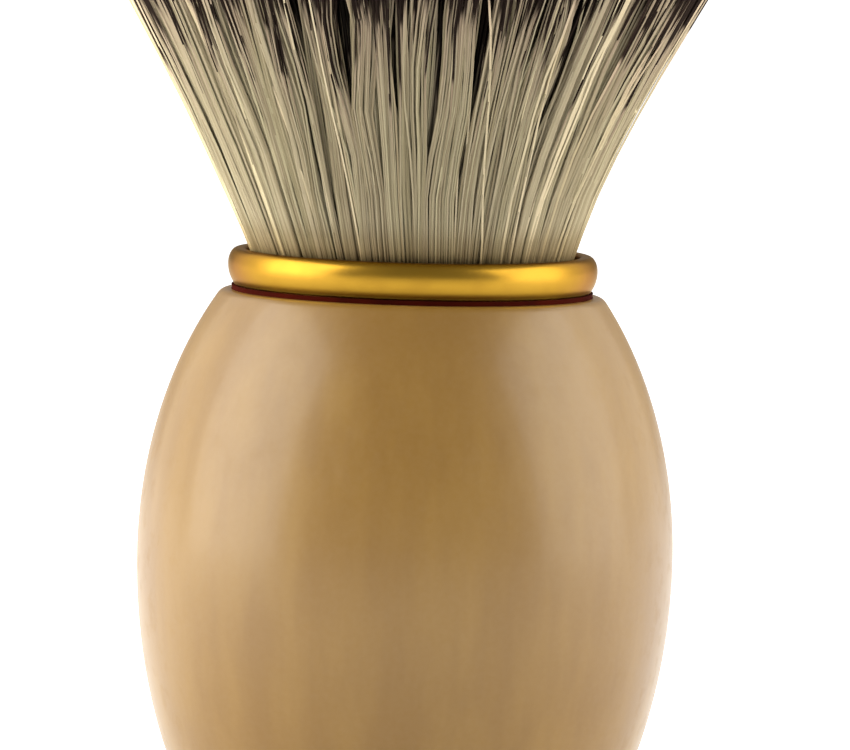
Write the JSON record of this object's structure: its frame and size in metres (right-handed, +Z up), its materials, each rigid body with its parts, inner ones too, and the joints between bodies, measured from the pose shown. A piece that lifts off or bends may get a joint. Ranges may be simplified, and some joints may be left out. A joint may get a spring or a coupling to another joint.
{
  "type": "shaving brush",
  "caption": "Shaving brush with a domed knot of banded hair in a glossy turned handle with a bulbous belly, a bright metal collar and a flared foot.",
  "frame": {"origin": "centre of the face the brush stands on, on the brush's own axis", "axes": "+Z up along the axis, from the foot of the handle to the tips of the hair; the brush is round, so +X and +Y are free"},
  "size_m": [0.05, 0.05, 0.1027],
  "materials": {
    "handle_resin": "polished cast resin, honey tan",
    "collar_metal": "gold anodised, satin",
    "sealing_compound": "dark red-brown, matt",
    "cup_plastic": "moulded, black",
    "hair": "dry banded hair: cream root, dark band, pale tips",
    "cord": "twisted waxed linen",
    "potting_resin": "cured amber resin",
    "adhesive": "cured clear-yellow adhesive",
    "spacer_plastic": "natural white plastic",
    "ballast_steel": "turned steel, zinc plated",
    "plug_plastic": "moulded, dark brown",
    "pad_foam": "soft closed-cell foam, dark brown"
  },
  "bodies": {
    "root": {"handle_body": "handle_resin", "collar_ring": "collar_metal", "collar_seal": "sealing_compound", "knot_cup": "cup_plastic", "hair_bundle": "hair", "binding_cord": "cord", "knot_resin_plug": "potting_resin", "knot_bedding": "adhesive", "loft_spacer": "spacer_plastic", "ballast_weight": "ballast_steel", "ballast_bedding": "adhesive", "base_plug": "plug_plastic", "base_pad": "pad_foam"}
  },
  "joints": []
}
